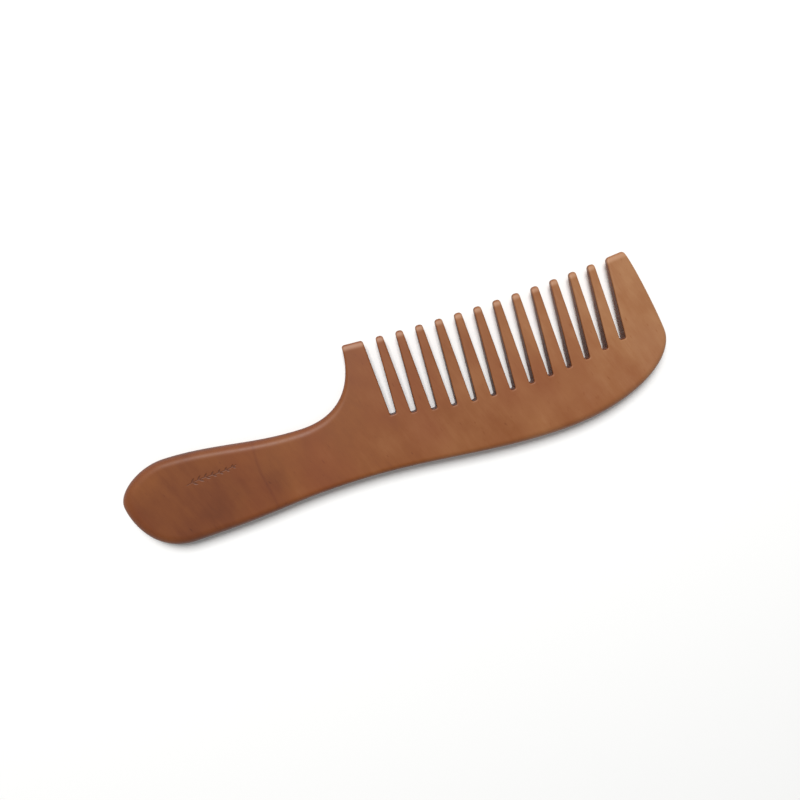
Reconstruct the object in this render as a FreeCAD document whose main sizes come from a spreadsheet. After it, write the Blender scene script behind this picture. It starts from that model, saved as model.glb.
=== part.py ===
"""Wide tooth comb, cut from one wooden board.

The board lies flat: X runs along the comb from the handle to the head's end, Y runs from the
back to the tooth tips, and Z is the thickness. While it is drawn, X starts at the centre of
the first gap, Y at the comb's long axis and Z at the middle of the board. At the end the whole
comb is moved so that its footprint is centred on the origin and it lies on Z = 0.

The comb is one piece of wood. Its regions (handle, neck, shoulder, spine, guard teeth and
teeth) are separate solids that meet face to face, so that each gap stays open.
"""
import FreeCAD, Part
import math
import os

Vector = FreeCAD.Vector
doc = FreeCAD.newDocument("wide_tooth_comb")

# ---------------------------------------------------------------- driving dimensions, in mm
SIZES = {
    # the teeth and the gaps sawn between them
    "tooth_count": 12,
    "tooth_pitch": 7.04,
    "gap_width_axis": 2.4,      # width of a gap where it crosses the comb's axis
    "gap_width_tips": 4.5,      # and at the height of the tips
    "root_low": 7.4,            # deepest gap, below the axis
    "root_low_along": 43.0,     # where along the comb it is
    "root_arc_radius": 188.0,   # the gap bottoms lie on this arc
    "tooth_corner": 1.05,       # plan radius of the two corners of each tip
    "tooth_round": 0.7,         # sanded edges and tips of the teeth
    # the thickness of the board
    "board_thickness": 6.8,     # handle, and the flat band along the back
    "tip_thickness": 2.3,
    "taper_start": 21.0,        # the thinning starts this far below the axis
    "taper_blend": 5.0,         # half the length of the soft bend that starts it
    "taper_tips": 25.0,         # height of the tips where tip_thickness is measured
    # the handle
    "handle_reach": 96.8,       # from the first gap to the end of the handle
    "handle_end_below": 3.6,
    "handle_end_pull_up": 5.2,
    "handle_end_pull_down": 5.0,
    "belly_from_end": 17.1,
    "belly_above": 7.6,
    "belly_pull_end": 8.2,
    "belly_pull_neck": 17.1,
    "heel_from_end": 18.8,
    "heel_below": 22.9,
    "heel_pull_end": 14.8,
    "heel_pull_neck": 28.8,
    "handle_round": 3.0,
    # the neck, where the handle runs into the head
    "neck_reach": 31.6,
    "neck_above": 2.5,
    "neck_pull_handle": 17.1,
    "neck_pull_guard": 19.6,
    "waist_reach": 23.7,
    "waist_below": 20.6,
    "waist_pull_handle": 20.5,
    "waist_pull_head": 31.2,
    "neck_start": 58.0,         # the neck region runs from here to neck_end
    "neck_end": 22.0,
    "neck_round": 1.9,
    # the head
    "guard_inner_reach": 9.7,   # outer corner of the handle-side guard tooth
    "guard_pull": 6.0,
    "back_along": 55.0,         # the lowest point of the back
    "back_below": 26.8,
    "back_pull_handle": 28.0,
    "back_pull_end": 28.2,
    "end_margin": 15.62,        # from the last gap to the end of the head
    "end_below": 5.2,
    "end_pull_back": 10.0,
    "end_pull_guard": 4.0,
    "end_guard_margin": 8.9,    # outer corner of the end guard tooth
    "end_guard_lean": 2.4,
    "end_guard_pull": 5.0,
    "back_round": 1.5,
    "guard_corner": 0.9,        # plan radius of the guard teeth's corners
    "end_guard_corner": 1.3,
    "shoulder_end": 3.5,
    "shoulder_round": 1.7,
    # the line that the tips lie on: its height above the axis
    "tips_handle_side": 25.4,
    "tips_low": 24.0,
    "tips_low_along": 52.0,
    "tips_end": 26.4,
}

sheet = doc.addObject("Spreadsheet::Sheet", "Sizes")
for row, (name, value) in enumerate(SIZES.items(), start=1):
    sheet.set("A%d" % row, name)
    sheet.set("B%d" % row, str(value))
    sheet.setAlias("B%d" % row, name)
doc.recompute()


def size(name):
    """The value of one named size, read from the spreadsheet."""
    return float(sheet.get(name))


board = size("board_thickness")
half_board = board / 2
half_tip = size("tip_thickness") / 2
pitch = size("tooth_pitch")
tooth_count = int(size("tooth_count"))
last_gap = tooth_count * pitch
far = 4 * size("back_below")                 # beyond every edge of the board
above_tips = size("tips_end") + pitch        # above every tooth
tiny = 1e-3
round_share = 0.43                # a rounded edge takes at most this share of its wall


# ---------------------------------------------------------------- the outline, as drawn on the board
def curve(start, start_pull, end_pull, end):
    """A cubic Bezier stretch from start to end, each with its own pull vector."""
    bezier = Part.BezierCurve()
    bezier.setPoles([start, start + start_pull, end + end_pull, end])
    return bezier.toShape()


def along(distance):
    return Vector(distance, 0, 0)


def across(distance):
    return Vector(0, distance, 0)


handle_end = Vector(-size("handle_reach"), -size("handle_end_below"), 0)
belly = Vector(handle_end.x + size("belly_from_end"), size("belly_above"), 0)
heel = Vector(handle_end.x + size("heel_from_end"), -size("heel_below"), 0)
neck_top = Vector(-size("neck_reach"), size("neck_above"), 0)
waist = Vector(-size("waist_reach"), -size("waist_below"), 0)
back = Vector(size("back_along"), -size("back_below"), 0)
head_end = Vector(last_gap + size("end_margin"), -size("end_below"), 0)
inner_corner = Vector(-size("guard_inner_reach"), size("tips_handle_side"), 0)
outer_corner = Vector(last_gap + size("end_guard_margin"), size("tips_end"), 0)
tips_low = Vector(size("tips_low_along"), size("tips_low"), 0)
guard_lean = Vector(size("end_guard_lean"), -size("end_guard_pull"), 0)

tips_curve = Part.BSplineCurve()
tips_curve.interpolate([outer_corner, tips_low, inner_corner])

outline_edges = [
    curve(inner_corner, across(-size("guard_pull")), along(size("neck_pull_guard")), neck_top),
    curve(neck_top, along(-size("neck_pull_handle")), along(size("belly_pull_neck")), belly),
    curve(belly, along(-size("belly_pull_end")), across(size("handle_end_pull_up")), handle_end),
    curve(handle_end, across(-size("handle_end_pull_down")), along(-size("heel_pull_end")), heel),
    curve(heel, along(size("heel_pull_neck")), along(-size("waist_pull_handle")), waist),
    curve(waist, along(size("waist_pull_head")), along(-size("back_pull_handle")), back),
    curve(back, along(size("back_pull_end")), across(-size("end_pull_back")), head_end),
    curve(head_end, across(size("end_pull_guard")), guard_lean, outer_corner),
    tips_curve.toShape(),
]
outline = doc.addObject("Part::Feature", "Outline")
outline.Shape = Part.Face(Part.Wire(outline_edges))

sawn_board = doc.addObject("Part::Extrusion", "SawnBoard")
sawn_board.Base = outline
sawn_board.DirMode = "Custom"
sawn_board.Dir = Vector(0, 0, 1)
sawn_board.Symmetric = True
sawn_board.Solid = True
sawn_board.setExpression("LengthFwd", "Sizes.board_thickness")
doc.recompute()


# ---------------------------------------------------------------- the board's thickness
taper_slope = (half_board - half_tip) / (size("taper_start") + size("taper_tips"))


def board_section(x, share):
    """The board's section across the comb at x: flat where share is 0, fully tapered at 1."""
    bend = size("taper_blend")
    drop = share * taper_slope

    def surface(side):
        """The face on one side: a flat line, a soft bend and the line up to the tips."""
        flat_start = Vector(x, -far, side * half_board)
        bend_start = Vector(x, -size("taper_start") - bend, side * half_board)
        bend_pole = Vector(x, -size("taper_start"), side * half_board)
        bend_end = Vector(x, -size("taper_start") + bend, side * (half_board - drop * bend))
        slope_end = Vector(x, above_tips,
                           side * (half_board - drop * (above_tips + size("taper_start"))))
        soft_bend = Part.BezierCurve()
        soft_bend.setPoles([bend_start, bend_pole, bend_end])
        edges = [Part.makeLine(flat_start, bend_start), soft_bend.toShape(),
                 Part.makeLine(bend_end, slope_end)]
        return flat_start, edges, slope_end

    upper_start, upper_edges, upper_end = surface(1)
    lower_start, lower_edges, lower_end = surface(-1)
    closing = [Part.makeLine(upper_end, lower_end), Part.makeLine(lower_start, upper_start)]
    return Part.Wire(Part.__sortEdges__(upper_edges + lower_edges + closing))


def smooth_step(share):
    return share * share * (3 - 2 * share)


neck_blank = doc.addObject("Part::Feature", "NeckBlank")
stations = 6
sections = []
for station in range(stations + 1):
    share = station / stations
    x = -size("neck_start") + share * (size("neck_start") - size("neck_end"))
    sections.append(board_section(x, smooth_step(share)))
neck_blank.Shape = Part.makeLoft(sections, True, False)

head_blank = doc.addObject("Part::Feature", "HeadBlank")
head_face = Part.Face(board_section(-size("neck_end"), 1))
head_blank.Shape = head_face.extrude(along(size("neck_end") + last_gap + far))


# ---------------------------------------------------------------- the gaps between the teeth
def root_height(gap):
    """Height of the bottom of a gap, counted from 0 at the handle, on the arc of the roots."""
    offset = gap * pitch - size("root_low_along")
    radius = size("root_arc_radius")
    return radius - size("root_low") - math.sqrt(radius ** 2 - offset ** 2)


gap_widening = (size("gap_width_tips") - size("gap_width_axis")) / size("taper_tips")
saw_cuts = []
for gap in range(tooth_count + 1):
    root = root_height(gap)
    saw_cut = doc.addObject("Part::Wedge", "SawCut_%02d" % gap)
    low_width = size("gap_width_axis") + gap_widening * root
    high_width = size("gap_width_axis") + gap_widening * above_tips
    saw_cut.Ymin, saw_cut.Ymax = root, above_tips
    saw_cut.Xmin, saw_cut.Xmax = -low_width / 2, low_width / 2
    saw_cut.X2min, saw_cut.X2max = -high_width / 2, high_width / 2
    saw_cut.setExpression("Placement.Base.x", "%d * Sizes.tooth_pitch" % gap)
    for lower, upper in (("Zmin", "Zmax"), ("Z2min", "Z2max")):
        saw_cut.setExpression(lower, "-Sizes.board_thickness")
        saw_cut.setExpression(upper, "Sizes.board_thickness")
    saw_cuts.append(saw_cut)

all_cuts = doc.addObject("Part::MultiFuse", "AllSawCuts")
all_cuts.Shapes = saw_cuts
tapered_head = doc.addObject("Part::Common", "TaperedHead")
tapered_head.Base, tapered_head.Tool = sawn_board, head_blank
toothed_head = doc.addObject("Part::Cut", "ToothedHead")
toothed_head.Base, toothed_head.Tool = tapered_head, all_cuts
doc.recompute()


# ---------------------------------------------------------------- the regions of the board
def region(name, source, x_low, x_high, y_low, y_high):
    """The part of source between two x planes and two y planes, and those planes."""
    box = doc.addObject("Part::Box", name + "_bounds")
    box.Length, box.Width, box.Height = x_high - x_low, y_high - y_low, 2 * board
    box.Placement.Base = Vector(x_low, y_low, -board)
    common = doc.addObject("Part::Common", name + "_sawn")
    common.Base, common.Tool = source, box
    doc.recompute()
    planes = [("x", x_low), ("x", x_high), ("y", y_low), ("y", y_high)]
    return common, planes


def rim_edges(shape, planes):
    """The edges where a face meets the sawn outline, leaving out those on the region's planes."""
    rims = []
    for edge in shape.Edges:
        middle = edge.valueAt((edge.FirstParameter + edge.LastParameter) / 2)
        on_plane = any(abs(getattr(middle, axis) - place) < tiny for axis, place in planes)
        first, last = edge.Vertexes[0].Point, edge.Vertexes[-1].Point
        upright = math.hypot(first.x - last.x, first.y - last.y) < tiny
        flat_middle = Part.Vertex(middle.x, middle.y, 0)
        on_outline = outline.Shape.OuterWire.distToShape(flat_middle)[0] < tiny
        if on_outline and not on_plane and not upright:
            rims.append(edge)
    return rims


def rounded(name, base, edges, radius, wall):
    """A fillet of one radius on the given edges of base, limited by the wall it rounds."""
    fillet = doc.addObject("Part::Fillet", name)
    fillet.Base = base
    radius = min(radius, round_share * wall)
    fillet.Edges = [(number, radius, radius) for number, edge in enumerate(base.Shape.Edges, start=1)
                    if any(edge.isSame(chosen) for chosen in edges)]
    doc.recompute()
    return fillet


def sanded(name, source, bounds, radius, wall):
    """One region of the board, with its share of the outline's edges rounded."""
    sawn, planes = region(name, source, *bounds)
    return rounded(name, sawn, rim_edges(sawn.Shape, planes), size(radius), wall)


neck_board = doc.addObject("Part::Common", "NeckBoard")
neck_board.Base, neck_board.Tool = sawn_board, neck_blank
doc.recompute()

first_root = root_height(0)
last_root = root_height(tooth_count)
neck_start, neck_end = -size("neck_start"), -size("neck_end")
shoulder_end = -size("shoulder_end")

neck_wall = min(edge.Length for edge in neck_board.Shape.Edges
                if edge.BoundBox.ZLength > tiny and abs(edge.BoundBox.XMax - neck_end) < tiny)
comb_parts = [
    sanded("handle", sawn_board, (-2 * far, neck_start, -far, far), "handle_round", board),
    sanded("neck", neck_board, (neck_start, neck_end, -far, far), "neck_round", neck_wall),
    sanded("shoulder", toothed_head, (neck_end, shoulder_end, -far, first_root), "shoulder_round",
           board),
]


# ---------------------------------------------------------------- the teeth
def tooth_base(tooth):
    """A tooth stands on the higher of the two gap bottoms beside it."""
    return max(root_height(tooth - 1), root_height(tooth))


tip_width = pitch - size("gap_width_tips")
tooth_blocks = []


def tooth_from_board(name, bounds, corner, width):
    """One tooth: its two tip corners are blunted in plan first, then every free edge is sanded."""
    sawn = region(name, toothed_head, *bounds)[0]
    base = bounds[2]
    corners = [edge for edge in sawn.Shape.Edges
               if edge.BoundBox.YMin > size("tips_low") - pitch and edge.BoundBox.YLength < tiny
               and edge.BoundBox.XLength < tiny]
    blunted = rounded(name + "_blunted", sawn, corners, size(corner), width)
    rims = [edge for edge in blunted.Shape.Edges
            if edge.BoundBox.YMax > base + tiny and abs(edge.BoundBox.XMin - neck_end) > tiny]
    tooth_blocks.append(sawn)
    return rounded(name, blunted, rims, size("tooth_round"), min(size("tip_thickness"), width))


for tooth in range(1, tooth_count + 1):
    bounds = ((tooth - 1) * pitch, tooth * pitch, tooth_base(tooth), far)
    comb_parts.append(tooth_from_board("tooth_%02d" % tooth, bounds, "tooth_corner", tip_width))

inner_bounds = (neck_end, 0, first_root, far)
outer_bounds = (last_gap, 2 * far, last_root, far)
comb_parts.append(tooth_from_board("guard_tooth_handle_side", inner_bounds, "guard_corner", pitch))
comb_parts.append(tooth_from_board("guard_tooth_end", outer_bounds, "end_guard_corner", pitch))

# ---------------------------------------------------------------- the spine, in three lengths
all_teeth = doc.addObject("Part::MultiFuse", "AllTeeth")
all_teeth.Shapes = tooth_blocks
spine_board = doc.addObject("Part::Cut", "SpineBoard")
spine_board.Base, spine_board.Tool = toothed_head, all_teeth
doc.recompute()
third = tooth_count // 3
spine_ends = [shoulder_end, (third - 0.5) * pitch, (2 * third + 0.5) * pitch, 2 * far]
for number, name in enumerate(("spine_inner", "spine_middle", "spine_outer")):
    bounds = (spine_ends[number], spine_ends[number + 1], -far, far)
    comb_parts.append(sanded(name, spine_board, bounds, "back_round", board))

# ---------------------------------------------------------------- checks and export
whole = Part.Compound([part.Shape for part in comb_parts])
bounds = whole.optimalBoundingBox()
to_origin = Vector(-bounds.Center.x, -bounds.Center.y, half_board)
for item in doc.Objects:
    if "Invalid" in item.State or "Error" in item.State:
        raise RuntimeError("%s failed: %s" % (item.Label, item.State))
for part in comb_parts:
    if part.Shape.isNull() or not part.Shape.isValid() or len(part.Shape.Solids) != 1:
        raise RuntimeError("%s is not one valid solid" % part.Label)
    part.Placement.Base = to_origin

os.makedirs("parts", exist_ok=True)
for part in comb_parts:
    part.Shape.exportStep(os.path.join("parts", part.Label + ".step"))
    print("%-26s %9.1f mm3" % (part.Label, part.Shape.Volume))
print("the first gap's centre, on the axis, is at", to_origin)
print("overall", bounds.XLength, bounds.YLength, bounds.ZLength)
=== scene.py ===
"""Wide tooth comb: the looks of one board of fruitwood, sawn, tapered, sanded and waxed by hand.

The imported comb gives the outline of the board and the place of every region. Here the same
outline becomes one board again, its edges are sanded with a radius that changes along the comb,
a small sprig is engraved on the handle, and the board is parted along the planes between its
regions, so that grain and polish run through all of them without a seam.

All the shaping is done in millimetres, in the comb's own frame: X from the handle to the head's
end, Y towards the tooth tips, Z up out of the broad face. The finished pieces are in metres.
"""

import math

import bmesh
import bpy
import numpy as np
from mathutils import Matrix, Vector, kdtree


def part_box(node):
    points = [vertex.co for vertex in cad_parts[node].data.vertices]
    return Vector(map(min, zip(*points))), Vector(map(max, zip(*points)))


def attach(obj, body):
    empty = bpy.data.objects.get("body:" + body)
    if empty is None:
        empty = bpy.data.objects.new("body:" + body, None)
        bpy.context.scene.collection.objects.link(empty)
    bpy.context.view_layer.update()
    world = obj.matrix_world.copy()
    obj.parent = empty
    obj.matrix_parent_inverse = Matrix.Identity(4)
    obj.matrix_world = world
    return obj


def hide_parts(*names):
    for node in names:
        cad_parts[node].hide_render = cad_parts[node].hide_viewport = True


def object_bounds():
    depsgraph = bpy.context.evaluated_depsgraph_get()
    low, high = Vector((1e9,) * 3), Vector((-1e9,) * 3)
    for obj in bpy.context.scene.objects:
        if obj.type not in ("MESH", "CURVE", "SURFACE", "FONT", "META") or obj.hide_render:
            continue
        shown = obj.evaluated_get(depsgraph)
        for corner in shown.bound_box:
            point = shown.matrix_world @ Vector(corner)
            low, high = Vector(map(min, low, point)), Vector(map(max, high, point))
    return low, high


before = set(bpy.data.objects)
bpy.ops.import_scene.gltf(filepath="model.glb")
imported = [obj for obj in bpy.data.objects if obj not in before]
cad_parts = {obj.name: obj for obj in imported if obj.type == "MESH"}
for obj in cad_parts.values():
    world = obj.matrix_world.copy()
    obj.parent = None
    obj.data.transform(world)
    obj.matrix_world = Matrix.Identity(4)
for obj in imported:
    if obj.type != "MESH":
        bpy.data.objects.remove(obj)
cad_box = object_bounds()

MM = 0.001


# ---------------------------------------------------------------- where the regions are, in mm
def reach(node):
    """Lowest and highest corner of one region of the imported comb."""
    low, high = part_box(node)
    return low / MM, high / MM


TEETH = ["tooth_%02d" % number for number in range(1, 13)]
GUARDS = ["guard_tooth_handle_side", "guard_tooth_end"]
SPINES = ["spine_inner", "spine_middle", "spine_outer"]
REGIONS = ["handle", "neck", "shoulder"] + SPINES + GUARDS + TEETH

REACH = {name: reach(name) for name in REGIONS}
BOARD = (cad_box[1].z - cad_box[0].z) / MM        # thickness of the handle and of the back
MIDDLE = BOARD / 2
NECK_START = REACH["handle"][1].x
NECK_END = REACH["neck"][1].x

# the head thins from BOARD at its back, THIN_FROM, to TIP_THICKNESS at the tips, TIP_HEIGHT
TIP_THICKNESS = 2.3
TIP_HEIGHT = 25.26
THIN_FROM = -20.74
THIN_BLEND = 5.0              # the bend at THIN_FROM is spread this far both ways

# places (x, y) along the outer edge, and how far the sanded rounding reaches in from it there
GUARD_TIP_RADIUS = 0.6        # it is as small as this only between the guard tips, by the gaps
EDGE_RADII = [
    (-11.0, 25.6, 0.55), (-12.6, 17.0, 1.0), (-15.7, 11.8, 1.7), (-21.7, 5.8, 2.5),
    (-33.2, 2.8, 2.9), (-81.0, 7.9, 2.9), (-98.4, -3.3, 4.4), (-80.0, -22.6, 3.5),
    (-58.0, -20.9, 2.8), (-25.0, -20.3, 2.1), (20.0, -25.0, 2.1), (55.0, -26.5, 2.9),
    (80.0, -22.6, 3.2), (98.4, -5.0, 1.6), (92.5, 16.0, 0.9), (91.2, 26.6, GUARD_TIP_RADIUS),
]
GAP_RADII = ([-7, -4, 4, 20], [0.05, 0.12, 0.35, 0.5])     # heights in the gaps, and the radius there
DEEPEST_ROUNDING = 0.9        # a rounding takes at most this share of half the thickness
TIP_DOME = 2.3                # the tips are domed over this length
TIP_LEFT = 0.42               # the share of the thickness left at the very tip
TIP_HIGHLIGHT_DEPTH = 1.3                # and painted palest this far in from the very tip: a painted highlight where the domed tips catch the light, with some rubbing wear
GUARD_TIP_INSET = 7.0         # from a guard tooth's gap to the middle of its tip
COARSE, FINE = 0.28, 0.22     # size of the small quads before and after sanding
OUTLINE_SPACING = 0.05        # between the points that the distance to the edge is measured from
TOOTHED_FROM = (-14, -9)      # the teeth lie past these X and Y; the rest is rubbed smoother


# ---------------------------------------------------------------- the outline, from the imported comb
EXACT = 1e-4                  # places this near to each other are the same
SAME_POINT = 0.004            # points this near to each other are welded
SHORTEST_EDGE = 0.002         # shorter edges are left out
ON_EDGE = 0.003               # a corner this near to an edge lies on it,
OFF_END = 0.01                # and divides it where it is this far from both ends
LOOK_ASIDE = 0.03             # how far to each side of an edge the regions are looked for


def region_section(node):
    """The edges that the board's middle plane cuts from one region, as pairs of points in mm."""
    part = bmesh.new()
    part.from_mesh(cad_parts[node].data)
    part.transform(Matrix.Scale(1 / MM, 4))
    bmesh.ops.remove_doubles(part, verts=part.verts, dist=EXACT)
    cut_through = bmesh.ops.bisect_plane(part, geom=part.verts[:] + part.edges[:] + part.faces[:],
                                         plane_co=(0, 0, MIDDLE), plane_no=(0, 0, 1))["geom_cut"]
    bmesh.ops.remove_doubles(part, verts=[g for g in cut_through if isinstance(g, bmesh.types.BMVert)],
                             dist=SAME_POINT)
    pairs = np.array([[v.co[:2] for v in e.verts] for e in part.edges
                      if all(abs(v.co.z - MIDDLE) < EXACT for v in e.verts)])
    part.free()
    return pairs[np.hypot(*(pairs[:, 1] - pairs[:, 0]).T) > SHORTEST_EDGE]


def inside(point, pairs):
    """Whether a point lies in the closed outline that the pairs make."""
    (x1, y1), (x2, y2) = pairs[:, 0].T, pairs[:, 1].T
    crosses = (y1 > point[1]) != (y2 > point[1])
    at = x1[crosses] + (point[1] - y1[crosses]) / (y2[crosses] - y1[crosses]) * (x2 - x1)[crosses]
    return np.count_nonzero(at > point[0]) % 2 == 1


def split_at(start, end, corners):
    """The stretch from start to end, divided wherever another region has a corner on it."""
    along = end - start
    length = np.hypot(*along)
    offset = corners - start
    share = offset @ along / length ** 2
    aside = np.abs(offset @ np.array([along[1], -along[0]])) / length
    on = (aside < ON_EDGE) & (share * length > OFF_END) & ((1 - share) * length > OFF_END)
    stops = np.unique(np.round(share[on] * length, 3)) / length
    stops = [start] + [start + along * stop for stop in stops] + [end]
    return zip(stops[:-1], stops[1:])


def board_outline():
    """The outer edges of all the regions, welded into one closed loop round the comb."""
    sections = {node: region_section(node) for node in REGIONS}
    corners = np.vstack([pairs.reshape(-1, 2) for pairs in sections.values()])
    outline = bmesh.new()
    for node, pairs in sections.items():
        for start, end in (piece for pair in pairs for piece in split_at(*pair, corners)):
            along = end - start
            across = np.array([along[1], -along[0]]) / np.hypot(*along) * LOOK_ASIDE
            middle = (start + end) / 2
            beyond = middle - across if inside(middle + across, pairs) else middle + across
            if not any(inside(beyond, other) for name, other in sections.items() if name != node):
                outline.edges.new([outline.verts.new((*p, 0)) for p in (start, end)])
    bmesh.ops.remove_doubles(outline, verts=outline.verts, dist=SAME_POINT)
    return outline


def in_order(outline):
    """The outline's points, walked once round the comb."""
    first = min(outline.verts, key=lambda v: v.co.x)
    walk, before, here = [first], None, first
    while True:
        steps = [e.other_vert(here) for e in here.link_edges]
        before, here = here, steps[0] if steps[0] is not before else steps[1]
        if here is first:
            return np.array([v.co[:2] for v in walk])
        walk.append(here)


# ---------------------------------------------------------------- sawing and sanding the board
def coordinates(verts):
    """The places of some vertices, one row for each."""
    return np.array([v.co for v in verts])


def unique(items):
    """The items once each, in the order they come in, so that every run gives the same shapes."""
    return list(dict.fromkeys(items))


def remeshed(shape, quad):
    """The same closed shape in small even quads; the shape that is handed in is freed."""
    mesh = bpy.data.meshes.new("bench")
    shape.to_mesh(mesh)
    shape.free()
    bench = bpy.data.objects.new("bench", mesh)
    bpy.context.scene.collection.objects.link(bench)
    remesh = bench.modifiers.new("even quads", "REMESH")
    remesh.mode, remesh.voxel_size, remesh.use_smooth_shade = "VOXEL", quad, True
    evaluated = bench.evaluated_get(bpy.context.evaluated_depsgraph_get())
    even = bmesh.new()
    even.from_mesh(evaluated.to_mesh())
    evaluated.to_mesh_clear()
    bpy.data.objects.remove(bench)
    bpy.data.meshes.remove(mesh)
    return even


def smooth_step(share):
    """Eases from 0 to 1 as the share goes from 0 to 1."""
    share = np.clip(share, 0, 1)
    return share * share * (3 - 2 * share)


def dome(distance, length):
    """A quarter ellipse: 0 at the edge and 1 from length inwards."""
    return np.sqrt(1 - (1 - np.clip(distance / length, 0, 1)) ** 2)


def half_thickness(x, y):
    """Half the thickness of the planed board, before its edges are sanded."""
    slope = (BOARD - TIP_THICKNESS) / 2 / (TIP_HEIGHT - THIN_FROM)
    past = y - THIN_FROM
    eased = np.clip(past + THIN_BLEND, 0, None) ** 2 / (4 * THIN_BLEND)
    thinned = np.where(past > THIN_BLEND, past, eased)
    return BOARD / 2 - slope * thinned * smooth_step((x - NECK_START) / (NECK_END - NECK_START))


def dense(points, spacing):
    """Points every spacing mm along a closed loop, how far along each one is, and the length."""
    steps = np.hypot(*(np.roll(points, -1, axis=0) - points).T)
    places = np.concatenate([[0], np.cumsum(steps)])
    wanted = np.arange(0, places[-1], spacing)
    closed = np.vstack([points, points[:1]])
    samples = np.column_stack([np.interp(wanted, places, closed[:, i]) for i in (0, 1)])
    return samples, wanted, places[-1]


def edge_radii(samples, places, total):
    """The sanding radius at each point of the outline, eased from one marked place to the next."""
    marks = []
    for x, y, radius in EDGE_RADII:
        nearest = np.argmin(np.hypot(samples[:, 0] - x, samples[:, 1] - y))
        marks.append((places[nearest], radius))
    marks.sort()
    at, radius = np.array(marks).T
    radii = np.interp(places, at, radius, period=total)
    in_gaps = radii <= GUARD_TIP_RADIUS
    return np.where(in_gaps, np.interp(samples[:, 1], *GAP_RADII), radii)


def edge_distance(points, samples):
    """How far each point is from the outline in plan, and which sample is nearest."""
    tree = kdtree.KDTree(len(samples))
    for index, (x, y) in enumerate(samples):
        tree.insert((x, y, 0), index)
    tree.balance()
    found = [tree.find((x, y, 0))[1:] for x, y in points]
    index, distance = np.array(found).T
    return distance, index.astype(int)


def tip_line(x):
    """Height of the line that the tips of the teeth lie on, from one guard tooth to the other."""
    places = [(REACH[name][0].x / 2 + REACH[name][1].x / 2, REACH[name][1].y) for name in TEETH]
    first = (REACH[GUARDS[0]][1].x - GUARD_TIP_INSET, REACH[GUARDS[0]][1].y)
    last = (REACH[GUARDS[1]][0].x + GUARD_TIP_INSET, REACH[GUARDS[1]][1].y)
    along, height = zip(first, *places, last)
    return np.interp(x, along, height)


def sand(board, outline):
    """Rounds every edge of the flat board, thins it towards the tips and domes the tips."""
    samples, places, total = dense(outline, OUTLINE_SPACING)
    radii = edge_radii(samples, places, total)
    x, y, z = coordinates(board.verts).T
    distance, index = edge_distance(np.column_stack([x, y]), samples)
    half = half_thickness(x, y)
    radius = radii[index]
    drop = np.minimum(radius, DEEPEST_ROUNDING * half) * (1 - dome(distance, radius))
    tipped = TIP_LEFT + (1 - TIP_LEFT) * dome(np.clip(tip_line(x) - y, 0, None), TIP_DOME)
    heights = MIDDLE + (z - MIDDLE) / MIDDLE * (half - drop) * tipped
    for vertex, height in zip(board.verts, heights):
        vertex.co.z = height


def paint_tip_highlight_and_wear(board):
    """Marks the tips' painted highlight, where their domes catch the light, with some rubbing wear: 1
    a little way in, fading both ways.
    """
    tip_highlight_and_wear = board.verts.layers.float.new("tip_highlight_and_wear")
    x, y, z = coordinates(board.verts).T
    depth = tip_line(x) - y
    shares = smooth_step(depth / TIP_HIGHLIGHT_DEPTH) * (1 - smooth_step(depth / TIP_HIGHLIGHT_DEPTH - 1))
    for vertex, share in zip(board.verts, shares):
        vertex[tip_highlight_and_wear] = share


def sanded_board():
    """The whole comb as one closed shape in small even quads."""
    board = board_outline()
    outline = in_order(board)
    bmesh.ops.contextual_create(board, geom=board.edges[:])
    raised = bmesh.ops.extrude_face_region(board, geom=board.faces[:], use_keep_orig=True)["geom"]
    bmesh.ops.translate(board, vec=(0, 0, BOARD),
                        verts=[g for g in raised if isinstance(g, bmesh.types.BMVert)])
    bmesh.ops.recalc_face_normals(board, faces=board.faces[:])
    board = remeshed(board, COARSE)
    sand(board, outline)
    board = remeshed(board, FINE)
    toothless = [v for v in board.verts if v.co.x < TOOTHED_FROM[0] or v.co.y < TOOTHED_FROM[1]]
    for verts in (board.verts[:], toothless, toothless):
        bmesh.ops.smooth_vert(board, verts=verts, factor=0.5,
                              use_axis_x=True, use_axis_y=True, use_axis_z=True)
    engrave(board)
    paint_tip_highlight_and_wear(board)
    return board


# ---------------------------------------------------------------- the engraved sprig
SPRIG_START, SPRIG_END = (-75.5, -2.9), (-57.5, -1.4)
SPRIG_ROOM = (1.0, 2.0, 2.6)  # room for the leaves before the stem, past it and to its sides
ENGRAVED_DEPTH = 0.10
STROKE = 0.2                  # half the width of the stem's groove
STEM_WAVE = 0.3               # how far the stem swings to each side
LEAF_PAIRS = 7
FIRST_LEAF = 0.7              # where the first leaf stands, as a share of the space for a pair
LEAF_LENGTH, LEAF_LOSS = 2.3, 0.16     # the first leaf, and how much shorter each next one is
LEAF_WIDTH = 0.36             # half a leaf's width
LEAF_SLOPE = 0.2              # over which the cut deepens from a leaf's border
LEAF_LEAN = math.radians(38)
LEAF_OFFSET = 0.45            # the leaves on one side stand this much farther on


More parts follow.
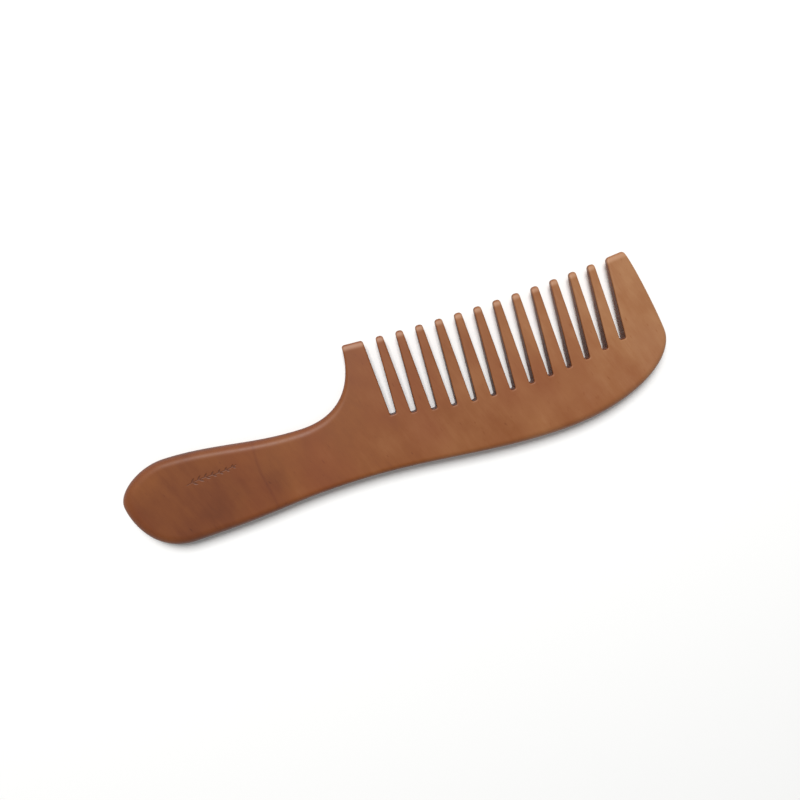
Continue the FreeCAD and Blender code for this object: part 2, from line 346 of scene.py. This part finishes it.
def sprig(x, y):
    """How deep the sprig is cut at each point, 0 to 1: a waved stem with leaves on both sides."""
    (x0, y0), (x1, y1) = SPRIG_START, SPRIG_END
    length = math.hypot(x1 - x0, y1 - y0)
    turn = math.atan2(y1 - y0, x1 - x0)
    along = (x - x0) * math.cos(turn) + (y - y0) * math.sin(turn)
    aside = (y - y0) * math.cos(turn) - (x - x0) * math.sin(turn)

    def stem(place):
        return STEM_WAVE * np.sin(place / length * 2 * math.pi)

    on_stem = (along > 0) & (along < length)
    cut_in = np.where(on_stem, 1 - np.abs(aside - stem(along)) / STROKE, 0)
    for pair in range(LEAF_PAIRS):
        foot = length * (pair + FIRST_LEAF) / (LEAF_PAIRS + 0.5)
        leaf = LEAF_LENGTH - LEAF_LOSS * pair
        for side in (-1, 1):
            u = along - foot - LEAF_OFFSET * (side < 0)
            v = (aside - stem(foot)) * side
            out = u * math.cos(LEAF_LEAN) + v * math.sin(LEAF_LEAN)
            off = v * math.cos(LEAF_LEAN) - u * math.sin(LEAF_LEAN)
            share = np.clip(out / leaf, 0, 1)
            half_width = LEAF_WIDTH * np.sin(math.pi * share ** 0.8)
            in_leaf = (half_width - np.abs(off)) / LEAF_SLOPE
            cut_in = np.maximum(cut_in, np.where((out > 0) & (out < leaf), in_leaf, 0))
    return np.clip(cut_in, 0, 1)


def sprig_plate(board):
    """The vertices of the handle's upper face round the sprig."""
    (x0, y0), (x1, y1) = SPRIG_START, SPRIG_END
    before, past, aside = SPRIG_ROOM
    return [v for v in board.verts if v.co.z > MIDDLE and x0 - before < v.co.x < x1 + past
            and min(y0, y1) - aside < v.co.y < max(y0, y1) + aside]


def engrave(board):
    """Cuts the sprig into the upper face of the handle and marks how deep the cut is."""
    edges = unique(e for v in sprig_plate(board) for e in v.link_edges)
    bmesh.ops.subdivide_edges(board, edges=edges, cuts=3, use_grid_fill=True)
    engraved = board.verts.layers.float.new("engraved")
    plate = sprig_plate(board)
    x, y, z = coordinates(plate).T
    for vertex, depth in zip(plate, sprig(x, y)):
        vertex[engraved] = depth
        vertex.co.z -= depth * ENGRAVED_DEPTH


# ---------------------------------------------------------------- parting the board into its regions
PLANES = [(0, [REACH[name][1].x for name in ["handle", "neck", "shoulder"] + SPINES[:2]]),
          (1, [REACH[name][0].y for name in TEETH + GUARDS])]
INTO_GAP = 0.5                # a tooth's faces lie within its box and this much to its sides
CUT_REACH = 1.2               # faces farther from a parting plane than this are left alone
CUT_SNAP = 0.02               # vertices this near to a parting plane are moved onto it


def beside(name, place):
    """Whether a place is in the column of one tooth."""
    low, high = REACH[name]
    return low.x - INTO_GAP < place.x < high.x + INTO_GAP


def owner(place):
    """The region that a point of the board belongs to."""
    for name in TEETH + GUARDS:
        if beside(name, place) and place.y > REACH[name][0].y:
            return name
    for name in ["handle", "neck", "shoulder"] + SPINES:
        if place.x < REACH[name][1].x:
            return name
    return SPINES[-1]


def cut(board, axis, place, wanted):
    """Adds edges to the board along one plane, only near the faces that wanted accepts."""
    near = [f for f in board.faces
            if abs(f.verts[0].co[axis] - place) < CUT_REACH and wanted(f.calc_center_median())]
    edges = unique(e for f in near for e in f.edges)
    verts = unique(v for f in near for v in f.verts)
    normal = Vector((axis == 0, axis == 1, 0))
    bmesh.ops.bisect_plane(board, geom=verts + edges + near, plane_co=normal * place,
                           plane_no=normal, dist=CUT_SNAP, use_snap_center=True)


def part_board(board):
    """One closed shape for each region, cut from the board along the planes between them."""
    for place in (NECK_START, NECK_END):
        cut(board, 0, place, lambda centre: True)
    for name in TEETH + GUARDS:
        cut(board, 1, REACH[name][0].y, lambda centre: beside(name, centre))
    for name in ["shoulder"] + SPINES[:2]:
        cut(board, 0, REACH[name][1].x, lambda centre: owner(centre) not in TEETH + GUARDS)
    region = board.faces.layers.int.new("region")
    for face in board.faces:
        face[region] = REGIONS.index(owner(face.calc_center_median()))
    pieces = {}
    for number, name in enumerate(REGIONS):
        piece = board.copy()
        mark = piece.faces.layers.int["region"]
        bmesh.ops.delete(piece, geom=[f for f in piece.faces if f[mark] != number], context="FACES")
        bmesh.ops.delete(board, geom=[f for f in board.faces if f[region] == number], context="FACES")
        cap(piece)
        pieces[name] = piece
    board.free()
    return pieces


def parting_plane(edge):
    """The plane between regions that an edge lies on, as its axis and place."""
    for axis, places in PLANES:
        for place in places:
            if all(abs(v.co[axis] - place) < CUT_SNAP / 2 for v in edge.verts):
                return axis, place


def cap(piece):
    """Closes a region with one flat face on each parting plane, with a crisp border.

    Where two planes meet, the rim has a corner in the upper and one in the lower face of the
    board. An upright edge joins the two, so that each plane gets a face of its own."""
    rim = [e for e in piece.edges if e.is_boundary]
    corners = {}
    for vertex in unique(v for e in rim for v in e.verts):
        if len({parting_plane(e) for e in vertex.link_edges if e.is_boundary}) == 2:
            corners.setdefault((round(vertex.co.x, 1), round(vertex.co.y, 1)), []).append(vertex)
    posts = [piece.edges.new(pair) for pair in corners.values() if len(pair) == 2]
    caps = bmesh.ops.edgenet_fill(piece, edges=rim + posts)["faces"]
    for edge in unique(e for f in caps for e in f.edges):
        edge.smooth = False
    bmesh.ops.recalc_face_normals(piece, faces=piece.faces[:])


# ---------------------------------------------------------------- materials
def srgb(colour):
    """A hex sRGB colour as the linear RGBA that shaders take."""
    channels = [int(colour[i:i + 2], 16) / 255 for i in (0, 2, 4)]
    return (*[c / 12.92 if c <= 0.04045 else ((c + 0.055) / 1.055) ** 2.4 for c in channels], 1)


def add(tree, kind, inputs=None, **settings):
    """Adds one node with its settings; each input is a value or another node's output."""
    node = tree.nodes.new("ShaderNode" + kind)
    for name, value in settings.items():
        setattr(node, name, value)
    for socket, value in (inputs or {}).items():
        if isinstance(value, bpy.types.NodeSocket):
            tree.links.new(value, node.inputs[socket])
        else:
            node.inputs[socket].default_value = value
    return node


def new_material(name):
    """An empty material, its node tree and its shader, which is linked to the output."""
    material = bpy.data.materials.new(name)
    material.use_nodes = True
    tree = material.node_tree
    tree.nodes.clear()
    output = add(tree, "OutputMaterial")
    shader = add(tree, "BsdfPrincipled")
    tree.links.new(shader.outputs["BSDF"], output.inputs["Surface"])
    return material, tree, shader


# the wood's tone goes from 0, darkest, to 1, palest; the figures below are steps on that scale
FIBRE_LEAN = math.radians(20)          # the fibres run along the teeth and lean to the handle
PALM, PALM_RADII = (-74, -15), (36, 18)     # where the palm rests, in mm
HANDLE_TONE, HEAD_PAINTED_LIGHT = 0.42, 0.40    # at the handle's end, and how much paler the head is painted: mostly painted light, brighter towards the head, partly the wood's own tone
# the side and gap-wall losses are painted shade: on the upright sides, and deeper between the teeth
PALM_LOSS, END_GRAIN_LOSS, SIDE_PAINTED_SHADE, GAP_WALL_PAINTED_SHADE = 0.14, 0.16, 0.16, 0.26
RING_LOSS, FLECK_LOSS = 0.13, 0.14
TONES = ((0.0, "42190b"), (0.3, "6d3819"), (0.5, "814920"), (0.7, "945f37"), (1.0, "b3865e"))

# the gaps, with 4 mm past the outer walls of the first and the last
GAPS_MIDDLE = (REACH[GUARDS[0]][1].x + REACH[GUARDS[1]][0].x) / 2
GAPS_HALF_SPAN = REACH[GUARDS[1]][0].x - GAPS_MIDDLE + 4.0
LOWEST_ROOT = min(REACH[name][0].y for name in TEETH) - 1.0    # just below every gap


def pattern(tree, grain, across_mm, along_mm, detail, shift, roughness=0.5):
    """Noise in the wood's own directions, its cells so many mm across and along the fibres."""
    scaled = add(tree, "Mapping", {
        "Vector": grain, "Location": (shift, shift, shift),
        "Scale": (1 / (across_mm * MM), 1 / (along_mm * MM), 1 / (across_mm * MM))})
    return add(tree, "TexNoise", {"Vector": scaled.outputs["Vector"], "Scale": 1.0,
                                  "Detail": detail, "Roughness": roughness}).outputs["Fac"]


def figured_tone(tree, axes, figure):
    """The wood's tone, paler from the handle's end to the head, mostly as painted light and partly as
    the wood's own tone, with the noises of the figure.
    """
    swing = sum(weight for noise, weight in figure) / 2
    share = add(tree, "MapRange", {"Value": axes.outputs["X"], "From Min": -98 * MM,
                                   "From Max": 98 * MM}).outputs["Result"]
    square = add(tree, "Math", {0: share, 1: 2.0}, operation="POWER").outputs[0]
    tone = add(tree, "Math", {0: square, 1: HEAD_PAINTED_LIGHT, 2: HANDLE_TONE - swing},
               operation="MULTIPLY_ADD").outputs[0]
    for noise, weight in figure:
        tone = add(tree, "Math", {0: noise, 1: weight, 2: tone}, operation="MULTIPLY_ADD").outputs[0]
    return tone


def darken_palm(tree, place, tone):
    """Darkens an oval of the handle, where the palm rests."""
    (x, y), (long, short) = PALM, PALM_RADII
    oval = add(tree, "Mapping", {"Vector": place, "Location": (-x / long, -y / short, 0),
                                 "Scale": (1 / (long * MM), 1 / (short * MM), 0)}).outputs["Vector"]
    held = add(tree, "TexGradient", {"Vector": oval}, gradient_type="SPHERICAL").outputs["Fac"]
    return add(tree, "Math", {0: held, 1: -PALM_LOSS, 2: tone}, operation="MULTIPLY_ADD").outputs[0]


def darken_end_grain(tree, normal, tone):
    """Darkens the faces that cut across the fibres, since end grain drinks more wax."""
    fibres = (-math.sin(FIBRE_LEAN), math.cos(FIBRE_LEAN), 0)
    facing = add(tree, "VectorMath", {0: normal, 1: fibres}, operation="DOT_PRODUCT").outputs["Value"]
    endways = add(tree, "Math", {0: facing}, operation="ABSOLUTE").outputs[0]
    loss = add(tree, "MapRange", {"Value": endways, "From Min": 0.4, "From Max": 1.0,
                                  "To Min": 0.0, "To Max": END_GRAIN_LOSS}).outputs["Result"]
    return add(tree, "Math", {0: tone, 1: loss}, operation="SUBTRACT").outputs[0]


def paint_shade_on_sides(tree, axes, normal, tone):
    """Darkens the upright sides with painted shade, as they turn away from the light, and the walls
    of the gaps most of all, with painted shade of the narrow gaps on wood that the saw left rougher."""
    upright = add(tree, "Math", {0: add(tree, "SeparateXYZ", {"Vector": normal}).outputs["Z"]},
                  operation="ABSOLUTE").outputs[0]
    side = add(tree, "MapRange", {"Value": upright, "From Min": 0.0, "From Max": 0.6,
                                  "To Min": 1.0, "To Max": 0.0}).outputs["Result"]
    # painted shade on the upright sides and the steep part of the roundings, which turn away from the
    # light
    tone = add(tree, "Math", {0: side, 1: -SIDE_PAINTED_SHADE, 2: tone}, operation="MULTIPLY_ADD").outputs[0]
    # the walls of the gaps get more: painted shade of the narrow gaps, on sawn wood that is also a
    # little rougher
    beside_gaps = add(tree, "Math", {0: axes.outputs["X"], 1: GAPS_MIDDLE * MM,
                                     2: GAPS_HALF_SPAN * MM}, operation="COMPARE").outputs[0]
    above_roots = add(tree, "Math", {0: axes.outputs["Y"], 1: LOWEST_ROOT * MM},
                      operation="GREATER_THAN").outputs[0]
    toothed = add(tree, "Math", {0: beside_gaps, 1: above_roots}, operation="MULTIPLY").outputs[0]
    gap_wall_shade = add(tree, "Math", {0: toothed, 1: side}, operation="MULTIPLY").outputs[0]
    return add(tree, "Math", {0: gap_wall_shade, 1: -GAP_WALL_PAINTED_SHADE, 2: tone},
               operation="MULTIPLY_ADD").outputs[0]


def draw_ring(tree, axes, streaks, tone):
    """Draws one dark growth ring across the handle near X -50.6 mm, in a slack S that swings
    0.5 mm each way, 0.2 to 1.6 mm wide and broken up by the streaks."""
    turns = add(tree, "Math", {0: axes.outputs["Y"], 1: 260.0}, operation="MULTIPLY").outputs[0]
    wave = add(tree, "Math", {0: turns}, operation="SINE").outputs[0]
    slant = add(tree, "Math", {0: axes.outputs["Y"], 1: -0.055, 2: -50.6 * MM},
                operation="MULTIPLY_ADD").outputs[0]
    ring_x = add(tree, "Math", {0: wave, 1: 0.5 * MM, 2: slant}, operation="MULTIPLY_ADD").outputs[0]
    aside = add(tree, "Math", {0: axes.outputs["X"], 1: ring_x}, operation="SUBTRACT").outputs[0]
    off_ring = add(tree, "Math", {0: aside}, operation="ABSOLUTE").outputs[0]
    ring = add(tree, "MapRange", {"Value": off_ring, "From Min": 0.1 * MM, "From Max": 0.8 * MM,
                                  "To Min": RING_LOSS, "To Max": 0.0}).outputs["Result"]
    loss = add(tree, "Math", {0: ring, 1: streaks}, operation="MULTIPLY").outputs[0]
    return add(tree, "Math", {0: tone, 1: loss}, operation="SUBTRACT").outputs[0]


def draw_flecks(tree, grain, tone):
    """Draws a few short dark flecks, as in pear and cherry wood, and keeps the tone in 0 to 1."""
    noise = pattern(tree, grain, 0.8, 3.2, 1.0, shift=9.4)
    flecks = add(tree, "MapRange", {"Value": noise, "From Min": 0.70, "From Max": 0.82,
                                    "To Min": 0.0, "To Max": FLECK_LOSS}).outputs["Result"]
    return add(tree, "Math", {0: tone, 1: flecks}, operation="SUBTRACT", use_clamp=True).outputs[0]


def wood_colour(tree, grain, tone):
    """The tone as a colour, with clouds that are redder, not darker, and the two marks: the tips
    painted paler, as a highlight where their domes catch the light with some rubbing wear, and the
    engraving burnt darker."""
    ramp = add(tree, "ValToRGB", {"Fac": tone})
    ramp.color_ramp.elements.remove(ramp.color_ramp.elements[1])
    for number, (position, paint) in enumerate(TONES):
        stop = ramp.color_ramp.elements[0] if number == 0 else ramp.color_ramp.elements.new(position)
        stop.position, stop.color = position, srgb(paint)
    clouds = pattern(tree, grain, 19, 30, 2.0, shift=11.3)
    red = add(tree, "MapRange", {"Value": clouds, "From Min": 0.42, "From Max": 0.68,
                                 "To Min": 0.0, "To Max": 0.35}).outputs["Result"]
    colour = add(tree, "Mix", {"Factor": red, "A": ramp.outputs["Color"], "B": srgb("7c3b1c")},
                 data_type="RGBA").outputs["Result"]
    # the tips get a painted highlight with some wear; the engraving gets its burnt colour
    for mark, most, paint in (("tip_highlight_and_wear", 0.27, "d3a888"), ("engraved", 1.0, "5c301b")):
        marked = add(tree, "Attribute", attribute_name=mark).outputs["Fac"]
        amount = add(tree, "Math", {0: marked, 1: most}, operation="MULTIPLY").outputs[0]
        colour = add(tree, "Mix", {"Factor": amount, "A": colour, "B": srgb(paint)},
                     data_type="RGBA").outputs["Result"]
    return colour


def waxed_fruitwood():
    """Fruitwood, dense and almost without pores, sanded fine and rubbed with wax: a satin
    red-brown with soft cloudy figure, faint streaks along the fibres, and painted shade on the
    upright sides and in the gaps."""
    material, tree, shader = new_material("fruitwood_sanded_and_waxed")
    place = add(tree, "TexCoord").outputs["Object"]
    axes = add(tree, "SeparateXYZ", {"Vector": place})
    normal = add(tree, "NewGeometry").outputs["Normal"]
    grain = add(tree, "Mapping", {"Vector": place,
                                  "Rotation": (0, 0, -FIBRE_LEAN)}).outputs["Vector"]
    streaks = pattern(tree, grain, 1.7, 11, 3.0, shift=1.3)
    # real fibres are about 0.03 mm wide; they are drawn coarser, 0.45 mm wide, so that they show
    fibres = pattern(tree, grain, 0.45, 4.5, 4.0, shift=5.9, roughness=0.6)
    figure = [(pattern(tree, grain, 10, 14, 4.0, shift=3.1), 0.34),
              (pattern(tree, grain, 6, 24, 3.0, shift=7.7), 0.12), (streaks, 0.09), (fibres, 0.08)]
    tone = figured_tone(tree, axes, figure)
    tone = darken_palm(tree, place, tone)
    tone = darken_end_grain(tree, normal, tone)
    tone = paint_shade_on_sides(tree, axes, normal, tone)
    tone = draw_ring(tree, axes, streaks, tone)
    tone = draw_flecks(tree, grain, tone)
    rough = add(tree, "MapRange", {"Value": streaks, "To Min": 0.46, "To Max": 0.60})
    bump = add(tree, "Bump", {"Height": fibres, "Strength": 0.3, "Distance": 0.05 * MM})
    tree.links.new(wood_colour(tree, grain, tone), shader.inputs["Base Color"])
    tree.links.new(rough.outputs["Result"], shader.inputs["Roughness"])
    tree.links.new(bump.outputs["Normal"], shader.inputs["Normal"])
    shader.inputs["IOR"].default_value = 1.48
    shader.inputs["Specular IOR Level"].default_value = 0.4
    shader.inputs["Coat Weight"].default_value = 0.06
    shader.inputs["Coat Roughness"].default_value = 0.3
    return material


def matt_paper():
    """Matt white paper, pressed from pulp: even and pale, with a fine tooth and no gloss."""
    material, tree, shader = new_material("matt_paper")
    place = add(tree, "TexCoord").outputs["Object"]
    tooth = add(tree, "TexNoise", {"Vector": place, "Scale": 1 / (0.4 * MM), "Detail": 2.0})
    bump = add(tree, "Bump", {"Height": tooth.outputs["Fac"], "Strength": 0.1, "Distance": 0.02 * MM})
    tree.links.new(bump.outputs["Normal"], shader.inputs["Normal"])
    shader.inputs["Base Color"].default_value = srgb("f9f9f8")
    shader.inputs["Roughness"].default_value = 0.9
    shader.inputs["Specular IOR Level"].default_value = 0.2
    return material


# ---------------------------------------------------------------- the finished pieces
wood = waxed_fruitwood()
for name, shape in part_board(sanded_board()).items():
    shape.transform(Matrix.Scale(MM, 4))
    for face in shape.faces:
        face.smooth = True
    mesh = bpy.data.meshes.new("sanded_" + name)
    shape.to_mesh(mesh)
    shape.free()
    mesh.materials.append(wood)
    piece = bpy.data.objects.new("sanded_" + name, mesh)
    bpy.context.scene.collection.objects.link(piece)
    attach(piece, "root")
    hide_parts(name)


# ---------------------------------------------------------------- floor, light and camera
floor_shape = bmesh.new()
bmesh.ops.create_grid(floor_shape, x_segments=1, y_segments=1, size=1.5)
floor_mesh = bpy.data.meshes.new("paper_floor")
floor_shape.to_mesh(floor_mesh)
floor_shape.free()
floor_mesh.materials.append(matt_paper())
floor = bpy.data.objects.new("paper_floor", floor_mesh)
bpy.context.scene.collection.objects.link(floor)

world = bpy.data.worlds.new("white_room")
world.use_nodes = True
background = world.node_tree.nodes["Background"]
background.inputs["Color"].default_value = (1, 1, 1, 1)
background.inputs["Strength"].default_value = 0.30
bpy.context.scene.world = world
bpy.context.scene.view_settings.view_transform = "Standard"

# one soft window, high up on the side of the tooth tips, turned towards the middle of the comb
window = bpy.data.lights.new("window_softbox", "AREA")
window.shape, window.size, window.size_y, window.energy = "RECTANGLE", 0.8, 0.72, 27.1
softbox = bpy.data.objects.new("window_softbox", window)
bpy.context.scene.collection.objects.link(softbox)
softbox.location = (-0.032, 0.88, 1.328)
softbox.rotation_euler = (-softbox.location).to_track_quat("-Z", "Y").to_euler()

camera_data = bpy.data.cameras.new("camera")
camera_data.lens, camera_data.sensor_width = 29.25, 36
camera_data.clip_start = 0.01
camera = bpy.data.objects.new("camera", camera_data)
bpy.context.scene.collection.objects.link(camera)
camera.location = (-0.007617, 0.030152, 0.226732)
camera.rotation_euler = [math.radians(angle) for angle in (-6.1706, -4.6207, -17.9082)]
bpy.context.scene.camera = camera
